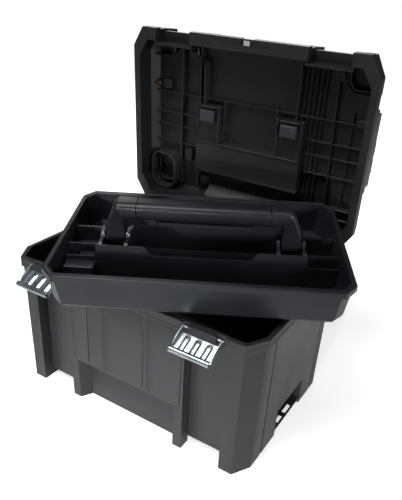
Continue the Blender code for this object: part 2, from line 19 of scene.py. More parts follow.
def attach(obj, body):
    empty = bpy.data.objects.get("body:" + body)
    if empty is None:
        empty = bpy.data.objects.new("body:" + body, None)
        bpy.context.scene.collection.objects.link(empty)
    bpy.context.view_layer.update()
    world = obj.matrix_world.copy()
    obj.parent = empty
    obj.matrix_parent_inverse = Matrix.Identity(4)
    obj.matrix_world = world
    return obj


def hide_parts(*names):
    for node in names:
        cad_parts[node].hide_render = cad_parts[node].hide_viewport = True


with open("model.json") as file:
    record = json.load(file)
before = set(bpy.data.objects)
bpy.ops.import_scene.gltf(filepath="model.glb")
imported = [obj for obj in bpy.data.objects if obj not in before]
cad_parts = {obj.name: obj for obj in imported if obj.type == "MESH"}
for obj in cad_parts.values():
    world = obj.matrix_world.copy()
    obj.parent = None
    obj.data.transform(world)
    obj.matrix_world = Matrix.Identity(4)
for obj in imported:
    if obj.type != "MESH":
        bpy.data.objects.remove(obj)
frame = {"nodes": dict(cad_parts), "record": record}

LOG = logging.getLogger("toolbox")
UP = (0.0, 0.0, 1.0)
WELD = 5e-6  # points nearer than this are one
FLAT = 0.4  # faces within this many degrees are one


def turn(axis: str, angle: float) -> np.ndarray:
    """A turn about one axis, as a 4 by 4 matrix.

    Args:
        axis: "X", "Y" or "Z".
        angle: In degrees, by the right-hand rule.

    Returns:
        The matrix.
    """
    cosine, sine = math.cos(math.radians(angle)), math.sin(math.radians(angle))
    first, second = {"X": (1, 2), "Y": (2, 0), "Z": (0, 1)}[axis]
    matrix = np.eye(4)
    matrix[first, first] = matrix[second, second] = cosine
    matrix[first, second], matrix[second, first] = -sine, sine
    return matrix


def shift(x: float = 0.0, y: float = 0.0, z: float = 0.0) -> np.ndarray:
    """A move, as a 4 by 4 matrix.

    Args:
        x, y, z: How far along each axis.

    Returns:
        The matrix.
    """
    matrix = np.eye(4)
    matrix[:3, 3] = x, y, z
    return matrix


def about(point: tuple[float, float, float], matrix: np.ndarray) -> np.ndarray:
    """A turn carried out about a point instead of the origin."""
    return shift(*point) @ matrix @ shift(*(-value for value in point))


LID_RIM = 0.2343  # height of the closed lid's rim
HINGE = (0.0, 0.166, 0.231)  # a point on the lid's hinge line
LID = about(HINGE, turn("X", -88.0))  # closed lid to open lid
TRAY = shift(0.0583, -0.0343, 0.3037) @ turn("Z", 28.7) @ turn("X", 3.1) @ turn("Y", -1.2)
CEILING = 0.0505  # height of the lid's inner ceiling above its own rim


def on_ceiling(x: float = 0.0, y: float = 0.0) -> np.ndarray:
    """A place on the lid's ceiling, with local Z pointing into the lid.

    Args:
        x: Along the lid's width.
        y: Along its depth, as if it were closed.

    Returns:
        The matrix from the local frame to the world.
    """
    return LID @ shift(x, y, LID_RIM + CEILING) @ turn("X", 180.0)


# Surfaces


@dataclass
class Surface:
    """Points and faces, before they become a mesh."""

    points: np.ndarray
    faces: list[list[int]]

    @staticmethod
    def grid(points: np.ndarray, round_u: bool, round_v: bool, caps: bool = False) -> "Surface":
        """Quads over a grid of points.

        Args:
            points: An array of rows by columns by 3.
            round_u: Whether the last row meets the first.
            round_v: Whether the last column meets the first.
            caps: Whether the first and last rows are closed with a flat face.

        Returns:
            The surface.
        """
        rows, columns = points.shape[:2]
        row = np.arange(rows if round_u else rows - 1)[:, None]
        column = np.arange(columns if round_v else columns - 1)[None, :]
        below, beside = (row + 1) % rows, (column + 1) % columns
        here, over = row * columns, below * columns
        corners = (here + column, here + beside, over + beside, over + column)
        quads = np.stack([np.broadcast_to(c, (row.size, column.size)) for c in corners], -1)
        faces = quads.reshape(-1, 4).tolist()
        if caps:
            faces.append(list(range(columns))[::-1])
            faces.append(list(range((rows - 1) * columns, rows * columns)))
        return Surface(points.reshape(-1, 3), faces)

    @staticmethod
    def joined(parts: "list[Surface]") -> "Surface":
        """Several surfaces as one.

        Args:
            parts: The surfaces.

        Returns:
            One surface that holds them all.
        """
        starts = np.cumsum([0] + [len(part.points) for part in parts[:-1]])
        faces = [[int(start) + i for i in face] for start, part in zip(starts, parts) for face in part.faces]
        return Surface(np.concatenate([part.points for part in parts]), faces)

    def placed(self, matrix: np.ndarray) -> "Surface":
        """The surface moved by a 4 by 4 matrix."""
        return Surface(self.points @ matrix[:3, :3].T + matrix[:3, 3], self.faces)

    def mirrored(self) -> "Surface":
        """The surface on the other side of the centre plane, facing outwards."""
        return Surface(self.points * (-1.0, 1.0, 1.0), [face[::-1] for face in self.faces])


def rounded(corners: np.ndarray, radius: float, steps: int = 5) -> np.ndarray:
    """A closed outline with its corners rounded.

    Each corner B between neighbours A and C becomes the curve (1-t)^2 P + 2t(1-t) B + t^2 Q, where P and Q
    lie one radius from B towards A and C, or half way when a side is short.

    Args:
        corners: An array of corners by 2 or by 3, in order.
        radius: How far each curve reaches along its sides.
        steps: Points on each curve.

    Returns:
        The outline's points.
    """
    before, after = np.roll(corners, 1, 0) - corners, np.roll(corners, -1, 0) - corners
    lengths = [np.linalg.norm(side, axis=1, keepdims=True) for side in (before, after)]
    reach = [np.minimum(0.5, radius / length) for length in lengths]
    start, end = corners + before * reach[0], corners + after * reach[1]
    t = np.linspace(0.0, 1.0, steps)[None, :, None]
    curves = (1 - t) ** 2 * start[:, None] + 2 * t * (1 - t) * corners[:, None] + t**2 * end[:, None]
    return curves.reshape(-1, corners.shape[1])


def box_corners(x0: float, y0: float, x1: float, y1: float) -> np.ndarray:
    """The corners of a rectangle, anticlockwise."""
    return np.array([(x0, y0), (x1, y0), (x1, y1), (x0, y1)])


def octagon(half_x: float, half_y: float, cut_x: float, cut_y: float) -> np.ndarray:
    """The corners of a rectangle with cut corners, anticlockwise.

    Args:
        half_x: Half its size along X.
        half_y: Half its size along Y.
        cut_x: How much of each X side a corner takes.
        cut_y: How much of each Y side a corner takes.

    Returns:
        Eight points by 2.
    """
    quarter = np.array([(half_x, half_y - cut_y), (half_x - cut_x, half_y)])
    half = np.concatenate([quarter, quarter[::-1] * (-1.0, 1.0)])
    return np.concatenate([half, -half])


def moulding(corners: np.ndarray, rise: float, corner: float = 0.002, edge: float = 0.0006) -> Surface:
    """A flat-topped raised shape with a rounded outline and a rounded top edge.

    The outline is carried straight up to rise minus edge, then follows a quarter circle: inset by
    edge times (1 - cos a) and raised by edge times sin a, for a from 0 to 90 degrees. One more step inwards
    keeps the top flat.

    Args:
        corners: The outline's corners, anticlockwise.
        rise: Its height.
        corner: Rounding of the outline.
        edge: Radius of the top edge.

    Returns:
        The closed surface, standing on z = 0.
    """
    outline = rounded(corners, corner)
    along = np.roll(outline, -1, 0) - np.roll(outline, 1, 0)
    inward = np.stack([-along[:, 1], along[:, 0]], 1)
    inward /= np.maximum(np.linalg.norm(inward, axis=1, keepdims=True), 1e-9)
    angle = np.linspace(0.0, math.pi / 2, 4)
    inset = np.concatenate([[0.0], edge * (1 - np.cos(angle)), [edge * 1.25]])[:, None, None]
    height = np.concatenate([[0.0], rise - edge + edge * np.sin(angle), [rise]])[:, None, None]
    flat = outline[None] + inset * inward[None]
    points = np.concatenate([flat, np.broadcast_to(height, (*flat.shape[:2], 1))], -1)
    return Surface.grid(points, False, True, True)


def rib(start: tuple[float, float], end: tuple[float, float], width: float, rise: float) -> Surface:
    """A thin wall along a line, as a moulding.

    Args:
        start: One end of the line.
        end: The other end.
        width: The wall's thickness.
        rise: Its height.

    Returns:
        The closed wall, standing on z = 0.
    """
    first, last = np.array(start), np.array(end)
    along = (last - first) / np.linalg.norm(last - first)
    across = np.array((-along[1], along[0])) * width / 2
    corners = np.array([first - across, last - across, last + across, first + across])
    return moulding(corners, rise, width * 0.3)


def swept(path: np.ndarray, profile: np.ndarray, up: tuple[float, float, float], loop: bool) -> Surface:
    """A closed profile carried along a flat path.

    At each point of the path, side is the unit vector of up times tangent, and a profile point (a, b)
    lands at path + a side + b up.

    Args:
        path: Points by 3.
        profile: Points by 2, anticlockwise in (side, up).
        up: The normal of the path's plane.
        loop: Whether the path closes on itself.

    Returns:
        The surface, capped when the path is open.
    """
    tangent = np.roll(path, -1, 0) - np.roll(path, 1, 0) if loop else np.gradient(path, axis=0)
    side = np.cross(np.array(up), tangent)
    side /= np.linalg.norm(side, axis=1, keepdims=True)
    points = path[:, None] + profile[None, :, :1] * side[:, None] + profile[None, :, 1:] * np.array(up)
    return Surface.grid(points, loop, True, not loop)


def ring(radius_x: float, radius_y: float, count: int = 12) -> np.ndarray:
    """An ellipse: x = radius_x cos a, y = radius_y sin a."""
    angle = np.linspace(0.0, 2 * math.pi, count, endpoint=False)
    return np.stack([radius_x * np.cos(angle), radius_y * np.sin(angle)], 1)


def turned(profile: np.ndarray, count: int) -> Surface:
    """A profile spun about Z: x = r cos a, y = r sin a, z = height.

    Args:
        profile: Points of (radius, height).
        count: Points round each circle.

    Returns:
        The surface, closed with a flat face at each end.
    """
    angle = np.linspace(0.0, 2 * math.pi, count, endpoint=False)
    radius, height = profile[:, :1], profile[:, 1:]
    level = np.broadcast_to(height, (len(profile), count))
    points = np.stack([radius * np.cos(angle), radius * np.sin(angle), level], -1)
    return Surface.grid(points, False, True, True)


# Materials


class Value:
    """A shader socket that takes part in arithmetic."""

    def __init__(self, graph: "Graph", socket: bpy.types.NodeSocket) -> None:
        """Wraps one output socket."""
        self.graph, self.socket = graph, socket

    def _math(self, operation: str, *inputs: "Value | float") -> "Value":
        """Adds one Math node."""
        return self.graph.node("ShaderNodeMath", {"operation": operation}, dict(enumerate(inputs)))

    def __add__(self, other: "Value | float") -> "Value":
        """Sum."""
        return self._math("ADD", self, other)

    def __sub__(self, other: "Value | float") -> "Value":
        """Difference."""
        return self._math("SUBTRACT", self, other)

    def __rsub__(self, other: float) -> "Value":
        """Difference from a number."""
        return self._math("SUBTRACT", other, self)

    def __mul__(self, other: "Value | float") -> "Value":
        """Product."""
        return self._math("MULTIPLY", self, other)

    __radd__, __rmul__ = __add__, __mul__

    def between(self, low: float, high: float) -> "Value":
        """0 at low, 1 at high, clamped and smooth.

        Args:
            low: Where it starts to rise.
            high: Where it reaches 1.

        Returns:
            The new value.
        """
        settings = {"interpolation_type": "SMOOTHSTEP"}
        inputs = {"Value": self, "From Min": low, "From Max": high}
        return self.graph.node("ShaderNodeMapRange", settings, inputs)


class Graph:
    """A material's nodes."""

    def __init__(self, name: str) -> None:
        """Starts an empty material with a Principled shader."""
        self.material = bpy.data.materials.new(name)
        self.material.use_nodes = True
        self.nodes, self.links = self.material.node_tree.nodes, self.material.node_tree.links
        self.shader = self.nodes["Principled BSDF"]

    def node(self, kind: str, settings: dict, inputs: dict, output: int | str = 0) -> Value:
        """Adds one node.

        Args:
            kind: The node's type.
            settings: Its properties, set before its sockets.
            inputs: Socket name or number to a Value, number or tuple.
            output: The output socket wanted.

        Returns:
            That output.
        """
        made = self.nodes.new(kind)
        for key, value in settings.items():
            setattr(made, key, value)
        for key, value in inputs.items():
            if isinstance(value, Value):
                self.links.new(value.socket, made.inputs[key])
            else:
                made.inputs[key].default_value = value
        return Value(self, made.outputs[output])

    def mix(self, factor: Value, first: tuple, second: tuple) -> Value:
        """One colour fading into another."""
        inputs = {"Factor": factor, 6: (*first, 1.0), 7: (*second, 1.0)}
        return self.node("ShaderNodeMix", {"data_type": "RGBA"}, inputs, 2)

    def noise(self, scale: float, detail: float = 2.0, stretch: tuple = (1.0, 1.0, 1.0)) -> Value:
        """Noise on Object coordinates.

        Args:
            scale: Features for each metre.
            detail: How many finer layers it has.
            stretch: Factors on the three coordinates, so that a larger one makes features narrower.

        Returns:
            The noise, about 0 to 1.
        """
        place = self.node("ShaderNodeTexCoord", {}, {}, "Object")
        mapped = self.node("ShaderNodeMapping", {}, {"Vector": place, "Scale": stretch})
        return self.node("ShaderNodeTexNoise", {}, {"Vector": mapped, "Scale": scale, "Detail": detail})

    def set(self, **values: "Value | float | tuple") -> None:
        """Sets or links sockets of the Principled shader.

        Args:
            values: Socket names, with underscores for spaces, each with what it gets.
        """
        for key, value in values.items():
            socket = self.shader.inputs[key.replace("_", " ")]
            if isinstance(value, Value):
                self.links.new(value.socket, socket)
            else:
                socket.default_value = value

    def bump(self, height: Value, depth: float, strength: float) -> None:
        """Feeds a height to the shader's Normal."""
        inputs = {"Height": height, "Distance": depth, "Strength": strength}
        self.set(Normal=self.node("ShaderNodeBump", {}, inputs, "Normal"))


@dataclass(frozen=True)
class MouldedPlastic:
    """Moulded polypropylene: spark grain, a faint bloom, rubbed edges and hairline scuffs."""

    name: str
    colour: tuple[float, float, float]
    bloom: tuple[float, float, float]
    roughness: float
    grain_per_m: float = 1500.0
    grain_depth: float = 0.00012
    grain_strength: float = 0.30
    shine: float = 0.34

    def material(self) -> bpy.types.Material:
        """Builds the material.

        Returns:
            The material.
        """
        graph = Graph(self.name)
        grain = graph.noise(self.grain_per_m, 1.0)
        patches = graph.noise(14.0, 3.0)
        scuffs = graph.noise(70.0, 2.0, (1.0, 9.0, 1.0)).between(0.64, 0.72)
        edges = graph.node("ShaderNodeNewGeometry", {}, {}, "Pointiness").between(0.51, 0.58)
        pale = patches.between(0.35, 0.75) * 0.35 + edges + scuffs * 0.12
        graph.set(Base_Color=graph.mix(pale, self.colour, self.bloom))
        varied = self.roughness + (patches - 0.5) * 0.16 + (grain - 0.5) * 0.10
        graph.set(Roughness=varied - edges * 0.10 + scuffs * 0.06)
        graph.set(IOR=1.49, Specular_IOR_Level=self.shine)
        graph.bump(grain + scuffs * 0.15, self.grain_depth, self.grain_strength)
        return graph.material


@dataclass(frozen=True)
class PlatedSteel:
    """Sheet steel under bright zinc: fine rolling lines, cloudy plating and duller pressed edges."""

    name: str
    colour: tuple[float, float, float]
    cloud: tuple[float, float, float]
    roughness: float

    def material(self) -> bpy.types.Material:
        """Builds the material.

        Returns:
            The material.
        """
        graph = Graph(self.name)
        lines = graph.noise(420.0, 3.0, (8.0, 1.0, 1.0))
        clouds = graph.noise(38.0, 3.0)
        edges = graph.node("ShaderNodeNewGeometry", {}, {}, "Pointiness").between(0.52, 0.62)
        graph.set(Base_Color=graph.mix(clouds.between(0.3, 0.7), self.colour, self.cloud), Metallic=1.0)
        graph.set(Roughness=self.roughness + (lines - 0.5) * 0.16 + (clouds - 0.5) * 0.12 + edges * 0.08)
        graph.bump(lines, 0.00005, 0.10)
        return graph.material


@dataclass(frozen=True)
class Paper:
    """The pale floor: matt, with a breath of tone.

    Its glow rises from near to far for camera rays, and is dim for all others, so that it hardly lights the
    toolbox.
    """

    name: str = "pale_floor"
    colour: tuple[float, float, float] = (0.88, 0.88, 0.88)

    def material(self) -> bpy.types.Material:
        """Builds the material.

        Returns:
            The material.
        """
        graph = Graph(self.name)
        tone = tuple(value * 0.97 for value in self.colour)
        graph.set(Base_Color=graph.mix(graph.noise(3.0), self.colour, tone), Roughness=0.9)
        place = graph.node("ShaderNodeTexCoord", {}, {}, "Object")
        away = graph.node("ShaderNodeVectorMath", {"operation": "LENGTH"}, {0: place}, "Value")
        near, far, unseen = (0.55, 0.55, 0.55), (0.97, 0.97, 0.97), (0.10, 0.10, 0.10)
        seen = graph.node("ShaderNodeLightPath", {}, {}, "Is Camera Ray")
        paper = graph.mix(away.between(0.25, 1.3), near, far)
        inputs = {"Factor": seen, 6: (*unseen, 1.0), 7: paper}
        glow = graph.node("ShaderNodeMix", {"data_type": "RGBA"}, inputs, 2)
        graph.set(Emission_Color=glow, Emission_Strength=1.0)
        return graph.material


class Finish(Enum):
    """The finishes, by the record's material slot."""

    black_plastic = MouldedPlastic("black_plastic", (0.0085, 0.0085, 0.0092), (0.0180, 0.0178, 0.0190), 0.46)
    satin_plastic = MouldedPlastic("satin_plastic", (0.0075, 0.0077, 0.0090), (0.0160, 0.0163, 0.0190),
                                   0.40, 1700.0)
    grey_plastic = MouldedPlastic("grey_plastic", (0.020, 0.020, 0.022), (0.034, 0.034, 0.038), 0.44)
    zinc_steel = PlatedSteel("zinc_steel", (0.30, 0.34, 0.36), (0.46, 0.50, 0.52), 0.30)
    brass = PlatedSteel("brass", (0.62, 0.30, 0.08), (0.78, 0.42, 0.14), 0.25)

    def material(self) -> bpy.types.Material:
        """The material, built once."""
        return bpy.data.materials.get(self.value.name + "_look") or self._build()

    def _build(self) -> bpy.types.Material:
        """Builds the material under its own name."""
        made = self.value.material()
        made.name = self.value.name + "_look"
        return made


# Pieces


@dataclass(frozen=True)
class Softening:
    """Edge rounding of a piece, on edges whose faces turn by more than some degrees."""

    width: float
    segments: int = 2
    above: float = 24.0


PIN_EDGE = Softening(0.0003)


def add_piece(name: str, surface: Surface, body: str, finish: Finish, soft: Softening | None = None,
              smooth: float = 35.0, thickness: float = 0.0) -> bpy.types.Object:
    """Makes a mesh piece that rides on a body.

    Args:
        name: The piece's name.
        surface: Its points and faces, in the world.
        body: The CAD body that carries it.
        finish: Its finish.
        soft: Edge rounding, if any.
        smooth: Edges that turn by more than this many degrees stay sharp.
        thickness: Wall thickness for an open sheet.

    Returns:
        The object.
    """
    mesh = bpy.data.meshes.new(name)
    mesh.from_pydata(surface.points.tolist(), [], surface.faces)
    mesh.shade_smooth()
    mesh.set_sharp_from_angle(angle=math.radians(smooth))
    mesh.materials.append(finish.material())
    obj = bpy.data.objects.new(name, mesh)
    bpy.context.scene.collection.objects.link(obj)
    if thickness:
        wall = obj.modifiers.new("wall", "SOLIDIFY")
        wall.thickness, wall.offset, wall.use_even_offset = thickness, 0.0, True
    if soft:
        soften(obj, soft)
    else:
        even_normals(obj)
    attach(obj, body)
    LOG.info("%s: %d points on %s", name, len(surface.points), body)
    return obj


def soften(obj: bpy.types.Object, soft: Softening) -> None:
    """Rounds a piece's edges and evens its normals.

    Args:
        obj: The piece.
        soft: Its edge rounding.
    """
    bevel = obj.modifiers.new("edges", "BEVEL")
    bevel.width, bevel.segments = soft.width, soft.segments
    bevel.limit_method, bevel.angle_limit = "ANGLE", math.radians(soft.above)
    bevel.harden_normals = True
    bevel.miter_outer = "MITER_ARC"
    even_normals(obj, False)


def even_normals(obj: bpy.types.Object, keep_sharp: bool = True) -> None:
    """Makes wide faces shade flat by weighting normals with face area."""
    even = obj.modifiers.new("normals", "WEIGHTED_NORMAL")
    even.keep_sharp = keep_sharp


def body_of(node: str) -> str:
    """The body that carries a CAD node."""
    bodies = frame["record"]["behaviour"]["bodies"]
    return next(body for body, nodes in bodies.items() if node in nodes)


def skin(node: str, finish: Finish, soft: Softening) -> bpy.types.Object:
    """A merged copy of a CAD node with rounded edges, which stands for it.

    Args:
        node: The CAD node.
        finish: Its finish.
        soft: Its edge rounding.

    Returns:
        The new object.
    """
    source = frame["nodes"][node].data
    points = np.empty(len(source.vertices) * 3)
    source.vertices.foreach_get("co", points)
    source.calc_loop_triangles()
    corners = np.empty(len(source.loop_triangles) * 3, int)
    source.loop_triangles.foreach_get("vertices", corners)
    grid = np.round(points.reshape(-1, 3), 6)
    _, first, index = np.unique(grid, axis=0, return_index=True, return_inverse=True)
    faces = index.reshape(-1)[corners].reshape(-1, 3)
    whole = (faces[:, 0] != faces[:, 1]) & (faces[:, 1] != faces[:, 2]) & (faces[:, 2] != faces[:, 0])
    mesh = bpy.data.meshes.new(node + "_skin")
    mesh.from_pydata(points.reshape(-1, 3)[first].tolist(), [], faces[whole].tolist())
    shell = bmesh.new()
    shell.from_mesh(mesh)
    bmesh.ops.remove_doubles(shell, verts=shell.verts, dist=WELD)
    bmesh.ops.dissolve_limit(shell, angle_limit=math.radians(FLAT), verts=shell.verts, edges=shell.edges)
    shell.to_mesh(mesh)
    shell.free()
    mesh.shade_smooth()
    mesh.materials.append(finish.material())
    obj = bpy.data.objects.new(node + "_skin", mesh)
    bpy.context.scene.collection.objects.link(obj)
    soften(obj, soft)
    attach(obj, body_of(node))
    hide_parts(node)
    LOG.info("%s stands for the CAD node", obj.name)
    return obj


# Sub-assemblies


@dataclass
class Box:
    """The moulded box: its skin, rim beads, front panels and hinge pins."""

    rim_z: float = 0.234
    half_x: float = 0.220
    half_y: float = 0.154
    cut: tuple[float, float] = (0.019, 0.031)
    bead_inset: float = 0.0002
    bead_size: tuple[float, float] = (0.0007, 0.0011)
    bead_drops: tuple[float, ...] = (0.0022, 0.0130)  # below the rim
    panel_heights: tuple[float, float] = (0.082, 0.2165)
    panel_spans: tuple[tuple[float, float], ...] = ((-0.104, -0.070), (-0.042, 0.036), (0.041, 0.104))
    panel_foot: float = -0.1497
    panel_rise: float = 0.0016
    finish: Finish = Finish.black_plastic

    def rim_bead(self, level: float) -> Surface:
        """A bead round the rim: an ellipse carried along the rounded octagon, inset from the flange.

        Args:
            level: Its height.

        Returns:
            The closed bead.
        """
        inset = self.bead_inset
        cut_x, cut_y = (cut - inset * 0.3 for cut in self.cut)
        corners = octagon(self.half_x - inset, self.half_y - inset, cut_x, cut_y)
        path = rounded(np.column_stack([corners, np.full(8, level)]), 0.004, 4)
        return swept(path, ring(*self.bead_size), UP, True)

    def panel(self, left: float, right: float) -> Surface:
        """A barely raised panel on the front wall, as a moulding that faces the front.

        Args:
            left: Its left side.
            right: Its right side.

        Returns:
            The panel, upright, its face just proud of the drafted wall.
        """
        low, high = self.panel_heights
        raised = moulding(box_corners(left, low, right, high), self.panel_rise, 0.0015, 0.0005)
        return raised.placed(shift(0.0, self.panel_foot) @ turn("X", 90.0))

    def build(self) -> None:
        """Builds the box."""
        skin("box_shell", self.finish, Softening(0.0011, 3))
        for side in ("left", "right"):
            skin(f"hinge_pin_{side}", Finish.zinc_steel, PIN_EDGE)
        beads = [self.rim_bead(self.rim_z - drop) for drop in self.bead_drops]
        add_piece("rim_bead", Surface.joined(beads), "box", self.finish)
        panels = [self.panel(left, right) for left, right in self.panel_spans]
        add_piece("front_panels", Surface.joined(panels), "box", self.finish)


@dataclass
class Latches:
    """Both steel latches: brackets, pins and the pressed plates."""

    pivot: tuple[float, float] = (-0.158, 0.231)
    centre: float = 0.140
    half: float = 0.0305
    reach: float = 0.0362
    opened: float = 117.0
    steel: float = 0.0012
    curl: float = 0.0038
    heel: float = -0.0058
    rib_places: tuple[float, ...] = (-0.017, 0.0, 0.017)
    rib_width: float = 0.0038
    rib_rise: float = 0.0016

    def plate(self, side: int) -> Surface:
        """The pressed plate, standing up, as a function of u across it and v up it.

        The middle line in (y, z) runs straight up and ends in a curl with radius c, from 8 to 262 degrees:
        y = y0 + c (1 - cos a), z = z0 + c sin a.
        Three ribs are raised bumps exp(-((x - x0) / w)^4) over the straight run.

        Args:
            side: -1 for left, 1 for right.

        Returns:
            The open sheet.
        """
        flat = np.linspace(0.0062, self.reach - 0.0005, 60)
        angle = np.radians(np.linspace(8.0, 262.0, 20))
        y = np.concatenate([np.full(flat.size, self.heel), self.heel + self.curl * (1 - np.cos(angle))])
        z = np.concatenate([flat, self.reach + self.curl * np.sin(angle)])
        x = np.linspace(-1.0, 1.0, 145) * self.half
        run = np.clip((z - 0.008) / 0.006, 0, 1) * np.clip((self.reach + 0.001 - z) / 0.003, 0, 1)
        run[flat.size:] = 0.0
        ribs = sum(np.exp(-(((x - at) / self.rib_width) ** 4)) for at in self.rib_places)
        points = np.empty((y.size, x.size, 3))
        points[..., 0] = self.centre * side + x
        points[..., 1] = y[:, None] + self.rib_rise * run[:, None] * ribs[None]
        points[..., 2] = z[:, None]
        return Surface.grid(points, False, False)

    def wings(self, side: int) -> Surface:
        """The two side wings: closed outlines in (y, z), given a thickness across.

        Args:
            side: -1 for left, 1 for right.

        Returns:
            Both wings, standing up like the plate.
        """
        outline = rounded(np.array([(-0.0064, 0.0064), (-0.0030, -0.0020), (0.0, -0.0030), (0.0030, -0.0020),
                                    (0.0030, 0.0190), (-0.0005, 0.0290), (-0.0064, 0.0345)]), 0.0035, 5)
        wings = []
        for edge in (-1, 1):
            faces = np.array([-self.steel / 2, self.steel / 2])
            across = faces + self.centre * side + edge * (self.half - 0.0002)
            points = np.empty((2, len(outline), 3))
            points[..., 0] = across[:, None]
            points[..., 1:] = outline[None]
            wings.append(Surface.grid(points, False, True, True))
        return Surface.joined(wings)

    def build(self) -> None:
        """Builds both latches in their open pose."""
        for side, name in ((-1, "left"), (1, "right")):
            skin(f"latch_bracket_{name}", Finish.black_plastic, Softening(0.0009, 3))
            skin(f"latch_pin_{name}", Finish.zinc_steel, PIN_EDGE)
            to_open = shift(0.0, *self.pivot) @ turn("X", self.opened)
            plate = self.plate(side).placed(to_open)
            made = add_piece(f"latch_plate_{name}", plate, f"latch_{name}", Finish.zinc_steel, None, 50.0,
                             self.steel)
            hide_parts(f"latch_{name}")
            wings = self.wings(side).placed(to_open)
            add_piece(f"latch_wings_{name}", wings, f"latch_{name}", Finish.zinc_steel, Softening(0.0004))


@dataclass
class Lid:
    """The open lid: skin, ceiling ribs, walls, handle housings, bosses, tab lines and the end clips."""

    finish: Finish = Finish.black_plastic
    cross_ribs: tuple[float, ...] = (-0.043, -0.006, 0.018, 0.049)
    rib_end: float = 0.200  # where the cross ribs meet the side walls
    half_y: float = 0.129
    top_edge: float = 0.0012  # rounding of a block's top
    cheek: float = 0.0035  # thickness of the walls beside each handle pivot
    sharp: float = 0.001  # rounding of a wall's outline

    def line(self, start: tuple[float, float], end: tuple[float, float], rise: float = 0.007,
             width: float = 0.0022) -> Surface:
        """One ceiling rib between two points of the closed lid's plan.

        Args:
            start: First end, x and y.
            end: Last end.
            rise: How far it stands into the lid.
            width: Its thickness.

        Returns:
            The rib in the world.
        """
        to_local = [(point[0], -point[1]) for point in (start, end)]
        return rib(*to_local, width, rise).placed(on_ceiling())

    def bent(self, *points: tuple[float, float], rise: float = 0.007, width: float = 0.0026) -> Surface:
        """A rib that follows several points of the plan, as a closed profile carried along them.

        The profile is a rectangle with a rounded top: half the width across and from 0 to rise upwards.

        Args:
            points: The plan's points.
            rise: How far it stands into the lid.
            width: Its thickness.

        Returns:
            The rib in the world.
        """
        path = np.array([(x, -y, 0.0) for x, y in points])
        dense = np.concatenate([path[:1], self.curve(path, 0.004), path[-1:]])
        half = width / 2
        profile = np.array([(half, 0.0), (half, rise - half * 0.6), (half * 0.5, rise), (-half * 0.5, rise),
                            (-half, rise - half * 0.6), (-half, 0.0)])
        return swept(dense, profile, UP, False).placed(on_ceiling())

    @staticmethod
    def curve(path: np.ndarray, radius: float) -> np.ndarray:
        """An open path's inner corners, rounded as in rounded().

        Args:
            path: Points by 3.
            radius: How far each curve reaches along its sides.

        Returns:
            The curves' points, without the path's ends.
        """
        if len(path) < 3:
            return path[1:-1]
        return rounded(path, radius, 5).reshape(-1, 5, 3)[1:-1].reshape(-1, 3)

    def pad(self, x0: float, y0: float, x1: float, y1: float, rise: float, corner: float = 0.004) -> Surface:
        """One raised block, by its corners in the closed lid's plan.

        Args:
            x0: Left side.
            y0: Front side.
            x1: Right side.
            y1: Rear side.
            rise: How far it stands into the lid.
            corner: Rounding of its outline.

        Returns:
            The block in the world.
        """
        return moulding(box_corners(x0, -y1, x1, -y0), rise, corner, self.top_edge).placed(on_ceiling())

    def ribs(self) -> Surface:
        """The grid of stiffening ribs.

        Returns:
            All of them as one surface.
        """
        front, mid, low, rear = self.cross_ribs
        end = self.rib_end
        parts = [
            self.line((-end, front), (end, front), 0.009),
            self.line((-end, mid), (-0.100, mid), 0.009), self.line((0.100, mid), (end, mid), 0.009),
            self.line((-end, low), (-0.100, low), 0.008), self.line((0.102, low), (end, low), 0.008),
            self.line((-end, rear), (-0.104, rear), 0.008), self.line((0.104, rear), (end, rear), 0.008),
            self.line((-0.062, 0.094), (0.106, 0.094), 0.012),
        ]
        parts += [self.line((x, -self.half_y), (x, 0.128), 0.011, 0.0030) for x in (-0.143, -0.104)]
        parts += [self.line((x, -0.128), (x, 0.126), 0.007, 0.0018) for x in np.linspace(0.092, 0.126, 5)]
        parts.append(self.line((0.145, -0.128), (0.152, 0.120), 0.010, 0.0028))
        parts.append(self.line((0.176, -0.060), (0.178, 0.090), 0.006))
        return Surface.joined(parts)

    def centre_panel(self) -> Surface:
        """The walls round the smooth panel between the front and the handle.

        Returns:
            All of them as one surface.
        """
        walls = [
            self.line((-0.094, -0.104), (-0.092, -0.026), 0.016, 0.0032),
            self.line((0.083, -0.126), (0.083, 0.010), 0.013, 0.0032),
            self.line((-0.052, -0.044), (-0.052, 0.012), 0.015, 0.0024),
            self.line((0.050, -0.044), (0.050, 0.012), 0.015, 0.0024),
            self.bent((-0.112, -self.half_y), (-0.108, -0.112), (-0.094, -0.104), rise=0.014),
        ]
        return Surface.joined(walls)

    def wall(self, x: float, y0: float, y1: float, rise: float) -> Surface:
        """One wall of a housing, thickened away from the centre plane.

        Args:
            x: Its face nearest the centre plane.
            y0: Front end.
            y1: Rear end.
            rise: How far it stands into the lid.

        Returns:
            The wall in the world.
        """
        beyond = x + math.copysign(self.cheek, x)
        return self.pad(min(x, beyond), y0, max(x, beyond), y1, rise, self.sharp)

    def housings(self) -> Surface:
        """Cradles round the handle's pivots: side walls, a cross wall and the lip of the handle recess.

        Returns:
            All of them as one surface.
        """
        parts = []
        for side in (-1, 1):
            near, far = sorted((side * 0.060, side * 0.096))
            parts.append(self.wall(side * 0.055, -0.036, 0.034, 0.027))
            parts.append(self.wall(side * 0.0975, -0.036, 0.010, 0.024))
            parts.append(self.pad(near, -0.034, far, -0.031, 0.026, self.sharp))
        parts.append(self.pad(-0.100, 0.0285, 0.100, 0.0315, 0.027, self.sharp))
        return Surface.joined(parts)

